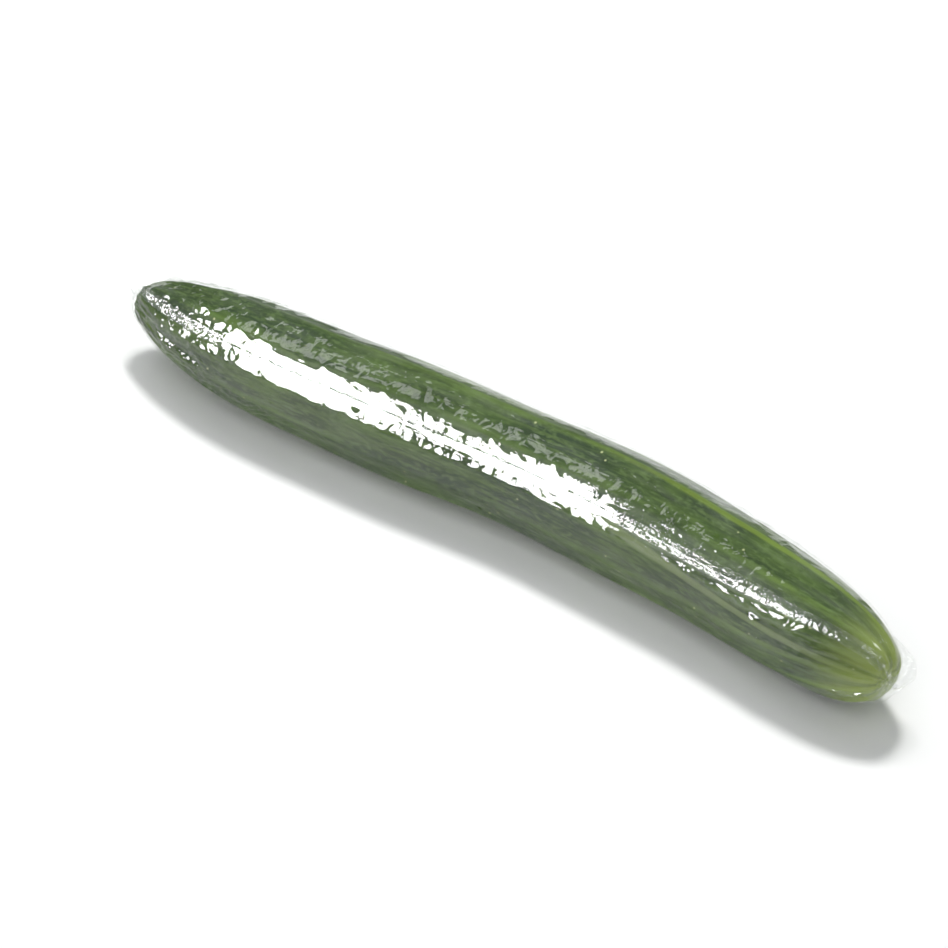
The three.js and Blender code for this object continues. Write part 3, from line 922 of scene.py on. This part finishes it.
def make_film(name, haze, crumple, vents=()):
    """Clear film with so much haze, crumpled so many times as much as the sleeve, with vents."""
    film, tree, output = new_material(name)
    place, along, angle = body_places(tree)
    blotch = blotches(tree, place, FILM_BLOTCHES)
    height = crumple_height(tree, blotch, along, angle, crumple)
    wrinkles = add(tree, "ShaderNodeBump", {"Height": height}, Strength=1.0, Distance=0.001)
    glance = add(tree, "ShaderNodeLayerWeight", {"Normal": wrinkles}, Blend=0.5).outputs["Facing"]
    glance = add(tree, "ShaderNodeMath", {0: glance, 1: MIRROR["power"]}, operation="POWER")
    mirrored = add(
        tree,
        "ShaderNodeMapRange",
        {"Value": glance},
        To_Min=MIRROR["square_on"],
        To_Max=MIRROR["glancing"],
    )
    ragged = product(tree, (blotch["ragged"], RAGGED))
    for share, degrees, radius in vents:
        vent = (straightened(np.array(share), np.radians(degrees)) / 1000).tolist()
        away = add(tree, "ShaderNodeVectorMath", {0: place, 1: vent}, operation="DISTANCE")
        away = add(tree, "ShaderNodeMath", {0: away, 1: ragged}, operation="ADD")
        edge = radius / 1000 + RAGGED / 2
        film_left = masks(tree, {"left": (away, edge - RIM, edge + RIM, 0, 1)})["left"]
        mirrored = product(tree, (mirrored, film_left))
    mirror = add(
        tree,
        "ShaderNodeBsdfGlossy",
        {"Normal": wrinkles},
        Color=(1, 1, 1, 1),
        Roughness=MIRROR["roughness"],
    )
    through = add(tree, "ShaderNodeBsdfTransparent", Color=(0.985, 0.99, 0.985, 1))
    clear = add(tree, "ShaderNodeMixShader", {"Fac": mirrored, 1: through, 2: mirror})
    milk = add(tree, "ShaderNodeBsdfDiffuse", Color=(0.9, 0.92, 0.9, 1))
    milky = masks(tree, {"milky": (blotch["milky"], 0.42, 0.72, haze * 0.15, haze)})["milky"]
    mixed = add(tree, "ShaderNodeMixShader", {"Fac": milky, 1: clear, 2: milk})
    tree.links.new(mixed.outputs["Shader"], output.inputs["Surface"])
    return film


sleeve.data.materials.append(make_film("clear_shrink_film", 0.045, 1.0, VENTS))
ribbon.data.materials.append(make_film("puckered_film_seam", 0.03, 0.6))
tail_film = make_film("crumpled_film_tail", 0.10, 1.5)
stem_tail.data.materials.append(tail_film)
blossom_tail.data.materials.append(tail_film)
print("film materials:", [m.name for m in bpy.data.materials if "film" in m.name])

# %% [markdown]
# ## Floor, room and lamps
#
# The cucumber lies on a white sheet in a dim room. A large softbox in front and to the left is
# there for its mirror image alone, the broad white highlight, so it lights nothing else. A small
# lamp high behind makes the sheet white and lays the grey shadow in front, and a weak large one
# in front lightens that shadow. Both are left out of the mirror images. A strip high on the left
# and a softbox behind give the film its soft grey sheen along the next crests.

# %% Floor
bpy.ops.object.select_all(action="DESELECT")
bpy.ops.mesh.primitive_plane_add(size=14, location=(0, 0, 0))
floor = bpy.context.object
floor.name = "floor"
paper, tree, output = new_material("white_sheet")
spread = add(tree, "ShaderNodeTexCoord").outputs["Object"]
mottle = add(tree, "ShaderNodeTexNoise", {"Vector": spread}, Scale=2.5, Detail=2.0)
tone = add(
    tree,
    "ShaderNodeMix",
    {"Factor": mottle, 6: linear("#f1f1f0"), 7: linear("#f7f7f6")},
    data_type="RGBA",
)
sheet = add(tree, "ShaderNodeBsdfPrincipled", {"Base Color": tone}, Roughness=0.75)
tree.links.new(sheet.outputs["BSDF"], output.inputs["Surface"])
floor.data.materials.append(paper)
print("floor: 14 m square")

# %% Lamps
def add_softbox(name, azimuth, elevation, away, size, brightness):
    """A rectangular lamp whose surface has that brightness, whatever its size."""
    bpy.ops.object.select_all(action="DESELECT")
    bpy.ops.object.light_add(type="AREA")
    lamp = bpy.context.object
    lamp.name = name
    lamp.data.shape = "RECTANGLE"
    lamp.data.size, lamp.data.size_y = size
    lamp.data.energy = brightness * math.pi * size[0] * size[1]
    place_facing(lamp, Vector((0, 0, 0.03)), away, azimuth, elevation)
    return lamp


front_box = add_softbox("front_softbox", *FRONT_LAMP, 1.2, (0.68, 0.57), 37)
front_box.location += front_box.rotation_euler.to_matrix() @ Vector((-0.08, -0.04, 0))
front_box.visible_diffuse = False
strip = add_softbox("left_strip", -108, 55, 1.3, (0.5, 0.28), 4)
rear_box = add_softbox("rear_softbox", 140, 38, 1.5, (0.5, 0.3), 10)
rear_box.visible_diffuse = False
key = add_softbox("top_light", 212, 65, 1.6, (0.26, 0.26), 92)
fill = add_softbox("front_fill", 32, 42, 1.6, (1.2, 1.2), 1.3)
for lamp in (key, fill):
    lamp.visible_glossy = False

world = bpy.data.worlds.new("dim_room")
bpy.context.scene.world = world
world.use_nodes = True
tree = world.node_tree
background = tree.nodes["Background"]
heading = add(tree, "ShaderNodeTexCoord").outputs["Generated"]
height = add(tree, "ShaderNodeSeparateXYZ", {"Vector": heading}).outputs["Z"]
glow = masks(tree, {"sky": (height, 0.2, 0.75, 0.14, 0.42)})["sky"]
tree.links.new(glow.outputs["Result"], background.inputs["Strength"])
background.inputs["Color"].default_value = (0.94, 0.97, 1.0, 1)
bpy.context.scene.view_settings.view_transform = "Standard"

# %% [markdown]
# ## Who rides on what, and the CAD parts that the fine pieces replace
#
# The object has one body, so every piece rides on its root. The fine fruit stands for the CAD's
# fruit, and the sleeve with its seam and tails for the CAD's film.

# %% Hand over
for piece in (fruit, sleeve, ribbon, stem_tail, blossom_tail):
    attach(piece, "root")
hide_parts("cucumber")
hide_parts("film_wrap")
